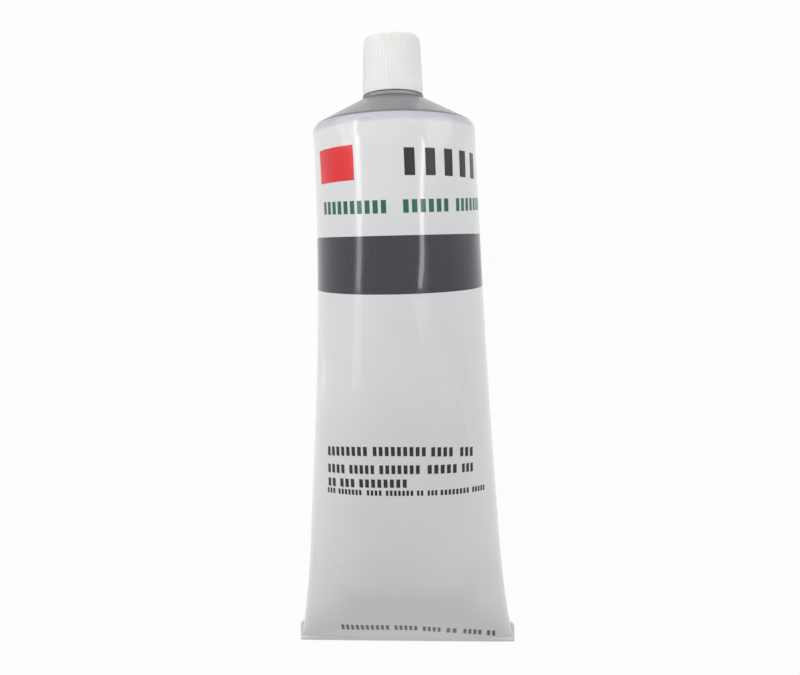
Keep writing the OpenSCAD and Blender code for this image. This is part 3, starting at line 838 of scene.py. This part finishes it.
def layout_mesh(name, blocks):
    """One point for each block, with its width and height in an attribute."""
    mesh = bpy.data.meshes.new(name)
    mesh.from_pydata([(s * MM, w * MM, 0) for s, w, _, _ in blocks], [], [])
    size = mesh.attributes.new("size", "FLOAT_VECTOR", "POINT")
    size.data.foreach_set("vector", [c * MM for _, _, a, b in blocks for c in (a, b, ABOVE - BELOW)])
    return mesh


# %% Sheet that the print is wrapped onto
bed_ws = np.concatenate([np.arange(1, 12, 0.25), np.linspace(12, 178, 167)])
bed_rings = dented([wall_ring(w, 0) for w in bed_ws])
print_bed = ring_mesh("print_bed", bed_rings, list(bed_ws), ends=False)
print_bed.data.polygons.foreach_set("use_smooth", [True] * len(print_bed.data.polygons))

# %% Wrapping tree
wrap, given = geometry_tree("slabs wrapped onto a sheet", {
    "Sheet": "NodeSocketObject", "Girth": "NodeSocketFloat", "Sheet span": "NodeSocketFloat",
    "Sheet start": "NodeSocketFloat", "Ink below": "NodeSocketFloat", "Steps": "NodeSocketInt"})
slab = add(wrap, "GeometryNodeMeshCube", {
    "Size": (1, 1, 1), "Vertices X": given["Steps"], "Vertices Y": given["Steps"], "Vertices Z": 2})
size = add(wrap, "GeometryNodeInputNamedAttribute", {"Name": "size"}, data_type="FLOAT_VECTOR")
slabs = add(wrap, "GeometryNodeInstanceOnPoints", {
    "Points": given["Geometry"], "Instance": slab.outputs["Mesh"], "Scale": size.outputs["Attribute"]})
loose = add(wrap, "GeometryNodeRealizeInstances", {"Geometry": slabs.outputs[0]})
flat_at = add(wrap, "ShaderNodeSeparateXYZ", {0: add(wrap, "GeometryNodeInputPosition").outputs[0]})
round_share = add(wrap, "ShaderNodeMath", {0: flat_at.outputs["X"], 1: given["Girth"]}, operation="DIVIDE")
u = add(wrap, "ShaderNodeMath", {0: round_share.outputs[0], 1: 0.5}, operation="ADD")
up_from = add(wrap, "ShaderNodeMath", {0: flat_at.outputs["Y"], 1: given["Sheet start"]}, operation="SUBTRACT")
v = add(wrap, "ShaderNodeMath", {0: up_from.outputs[0], 1: given["Sheet span"]}, operation="DIVIDE")
on_sheet = add(wrap, "ShaderNodeCombineXYZ", {"X": u.outputs[0], "Y": v.outputs[0]})
sheet = add(wrap, "GeometryNodeObjectInfo", {"Object": given["Sheet"]}, transform_space="ORIGINAL")
sheet_uv = add(wrap, "GeometryNodeInputNamedAttribute", {"Name": "sheet"}, data_type="FLOAT_VECTOR")


def looked_up(value):
    return add(wrap, "GeometryNodeSampleUVSurface", {
        "Mesh": sheet.outputs["Geometry"], "Value": value, "Source UV Map": sheet_uv.outputs["Attribute"],
        "Sample UV": on_sheet.outputs[0]}, data_type="FLOAT_VECTOR").outputs["Value"]


surface_at = looked_up(add(wrap, "GeometryNodeInputPosition").outputs[0])
surface_normal = looked_up(add(wrap, "GeometryNodeInputNormal").outputs[0])
half_ink = add(wrap, "ShaderNodeMath", {0: flat_at.outputs["Z"], 1: given["Ink below"]}, operation="ADD")
lifted = add(wrap, "ShaderNodeVectorMath", {0: surface_normal, "Scale": half_ink.outputs[0]}, operation="SCALE")
wrapped_at = add(wrap, "ShaderNodeVectorMath", {0: surface_at, 1: lifted.outputs[0]}, operation="ADD")
wrapped = add(wrap, "GeometryNodeSetPosition", {
    "Geometry": loose.outputs[0], "Position": wrapped_at.outputs[0]})
end_tree(wrap, wrapped.outputs[0], given["Finish"])


def print_piece(name, blocks, ink, steps):
    piece = grown(name, layout_mesh(name + "_layout", blocks), wrap, {
        "Sheet": print_bed, "Girth": GIRTH * MM, "Sheet span": SHEET_SPAN * MM, "Sheet start": SHEET_START * MM,
        "Ink below": (ABOVE + BELOW) / 2 * MM, "Steps": steps, "Finish": ink})
    outward(piece)
    report(piece)
    return piece


print_red = print_piece("print_red", red_blocks, red_ink, 12)
print_number = print_piece("print_number", number_blocks, black_ink, 8)
print_green = print_piece("print_green", green_blocks, green_ink, 3)
print_small = print_piece("print_small", small_blocks, black_ink, 3)
bpy.data.objects.remove(print_bed)

# %% [markdown]
# Every piece rides on a body of the CAD model, so the cap takes its thread and its ribs with it.

# %% Riding on the bodies
for piece, slot in ((tube_skin, "lacquered_metal"), (band_sleeve, "dark_ink"), (paste_fill, "putty"),
                    (neck_thread, "lacquered_metal"), (print_red, "dark_ink"), (print_number, "dark_ink"),
                    (print_green, "dark_ink"), (print_small, "dark_ink")):
    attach(piece, "tube")
for piece in (screw_cap, cap_thread):
    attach(piece, "cap")
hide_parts("tube")
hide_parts("printed_band")
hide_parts("putty")
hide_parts("cap")

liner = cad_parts["cap_liner"]
liner.data.materials.clear()
liner.data.materials.append(liner_foam)

# %% [markdown]
# The table is a plain white sheet. The camera, and any reflection, sees it as white, and it keeps
# a soft shadow.

# %% Table
def seen_rays(tree):
    """One for the rays that see the background: the camera's, reflected and transmitted ones."""
    rays = add(tree, "ShaderNodeLightPath").outputs
    direct = add(tree, "ShaderNodeMath", {
        0: rays["Is Camera Ray"], 1: rays["Is Glossy Ray"]}, operation="MAXIMUM")
    return add(tree, "ShaderNodeMath", {
        0: direct.outputs[0], 1: rays["Is Transmission Ray"]}, operation="MAXIMUM").outputs[0]


bpy.ops.mesh.primitive_plane_add(size=6, location=(0, 0, -0.0001))
table = bpy.context.object
table.name = "table"
table_white, tree, shader = new_material("white paper table", roughness=0.8)
shader.inputs["Base Color"].default_value = (0.76, 0.76, 0.76, 1)
seen = seen_rays(tree)
paper = add(tree, "ShaderNodeMath", {0: seen, 1: 0.95}, operation="MULTIPLY")
white = add(tree, "ShaderNodeEmission", {"Color": (1, 1, 1, 1), "Strength": 1.0})
mixed = add(tree, "ShaderNodeMixShader", {0: paper.outputs[0], 1: shader.outputs[0], 2: white.outputs[0]})
tree.links.new(mixed.outputs[0], tree.nodes["Material Output"].inputs["Surface"])
table.data.materials.append(table_white)

# %% Camera
camera = bpy.data.objects.new("camera", bpy.data.cameras.new("camera"))
bpy.context.scene.collection.objects.link(camera)
camera.data.lens, camera.data.sensor_width, camera.data.clip_start = 25.295, 36.0, 0.01
turn = Matrix(((0.99867, 0.01678, 0.04868), (-0.01842, 0.99927, 0.03355), (-0.04808, -0.03441, 0.99825)))
camera.matrix_world = Matrix.Translation((0.009480, 0.015972, 0.204517)) @ turn.to_4x4()
bpy.context.scene.camera = camera
print("camera", round(camera.location.z, 3), "m above the table, lens", round(camera.data.lens, 1), "mm")

# %% Light
world = bpy.data.worlds.new("studio")
bpy.context.scene.world = world
world.use_nodes = True
tree = world.node_tree
seen = seen_rays(tree)
background = tree.nodes["Background"]
background.inputs["Color"].default_value = (0.97, 0.98, 1.0, 1)
background.inputs["Strength"].default_value = 0.32
backdrop = add(tree, "ShaderNodeBackground", {"Color": (1, 1, 1, 1), "Strength": 1.0})
mixed = add(tree, "ShaderNodeMixShader", {0: seen, 1: background.outputs[0], 2: backdrop.outputs[0]})
tree.links.new(mixed.outputs[0], tree.nodes["World Output"].inputs["Surface"])


def lamp(name, place, target, along, width, length, watts):
    """A soft lamp at place that faces target, its length along the third direction."""
    data = bpy.data.lights.new(name, "AREA")
    data.shape, data.size, data.size_y, data.energy = "RECTANGLE", width, length, watts
    z = (Vector(place) - Vector(target)).normalized()
    y = (Vector(along) - Vector(along).dot(z) * z).normalized()
    x = y.cross(z)
    obj = bpy.data.objects.new(name, data)
    obj.matrix_world = Matrix.Translation(place) @ Matrix((x, y, z)).transposed().to_4x4()
    bpy.context.scene.collection.objects.link(obj)


lamp("high_back", (0, 1.0, 1.0), (0, 0, 0.03), (0, 1, -0.9), 1.5, 1.4, 10.8)
lamp("left_back", (-0.75, 0.6, 0.42), (0, 0, 0.03), (0, 0, 1), 0.8, 0.8, 3.7)
lamp("right_back", (0.75, 0.6, 0.42), (0, 0, 0.03), (0, 0, 1), 0.8, 0.8, 3.0)
lamp("left_strip", (-0.30, 0.065, 0.285), (0, 0.05, 0.04), (0, 0.298, 0.094), 0.045, 0.20, 0.12)
lamp("left_tail", (-0.31, 0.0, 0.27), (0, 0.0, 0.04), (0, 0.298, 0.094), 0.09, 0.32, 0.12)
lamp("right_strip", (0.30, 0.045, 0.45), (0, 0.03, 0.04), (0, 1, -0.4), 0.045, 0.26, 0.24)
lamp("right_tail", (0.31, 0.0, 0.47), (0, 0.0, 0.04), (0, 1, -0.1), 0.10, 0.34, 0.09)
bpy.context.scene.view_settings.view_transform = "Standard"
